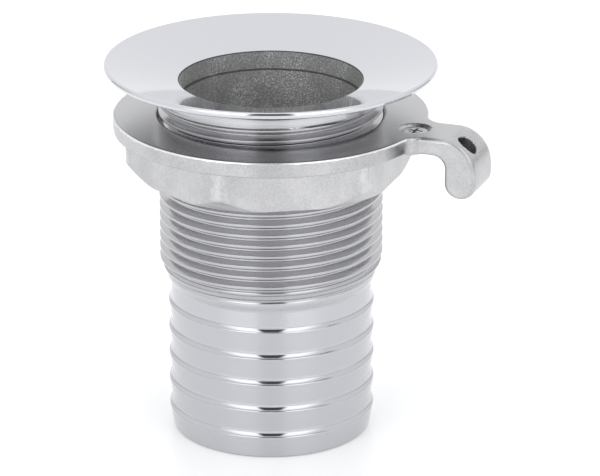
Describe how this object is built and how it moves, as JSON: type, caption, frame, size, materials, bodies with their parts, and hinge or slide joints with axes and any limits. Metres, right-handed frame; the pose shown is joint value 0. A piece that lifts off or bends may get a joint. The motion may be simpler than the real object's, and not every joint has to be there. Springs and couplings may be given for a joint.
{
  "type": "thru hull fitting",
  "caption": "Stainless steel thru-hull fitting: dished mushroom head on a threaded barrel with a barbed hose tail, and a hexagon flange nut with a hooked arm and a small screw.",
  "frame": {"origin": "on the axis of the barrel, in the plane of the hose tail's end face", "axes": "+Z along the barrel towards the dished head; -Y is the side seen in front, and the arm leaves towards +X, 20.7 degrees forward of it"},
  "size_m": [0.082, 0.0708, 0.0821],
  "materials": {
    "turned_steel": "mirror-polished stainless steel, machined thread",
    "cast_steel": "satin, lightly blasted stainless casting",
    "screw_steel": "bright stainless screw"
  },
  "bodies": {
    "fitting": {"fitting_body": "turned_steel"},
    "nut_slider": {"nut_core_ring": "cast_steel"},
    "nut": {"flange_nut": "cast_steel"},
    "screw_slider": {"screw_core_pin": "screw_steel"},
    "screw": {"arm_screw": "screw_steel"}
  },
  "joints": [
    {"name": "nut_travel", "type": "slide", "parent": "fitting", "child": "nut_slider", "axis": [0, 0, 1], "range_m": [-0.03002, 0.00369]},
    {"name": "nut_turn", "type": "hinge", "parent": "nut_slider", "child": "nut", "pos_m": [0, 0, 0.0643], "axis": [0, 0, 1], "range_deg": [-4716, 612]},
    {"name": "screw_travel", "type": "slide", "parent": "nut", "child": "screw_slider", "axis": [0, 0, 1], "range_m": [0, 0.003]},
    {"name": "screw_turn", "type": "hinge", "parent": "screw_slider", "child": "screw", "pos_m": [0.03021, -0.01142, 0.07031], "axis": [0, 0, 1], "range_deg": [-18, 2178]}
  ],
  "couplings": [
    {"joint": "nut_turn", "follows": "nut_travel", "rad_per_m": 2721.2},
    {"joint": "screw_turn", "follows": "screw_travel", "rad_per_m": 12566}
  ]
}
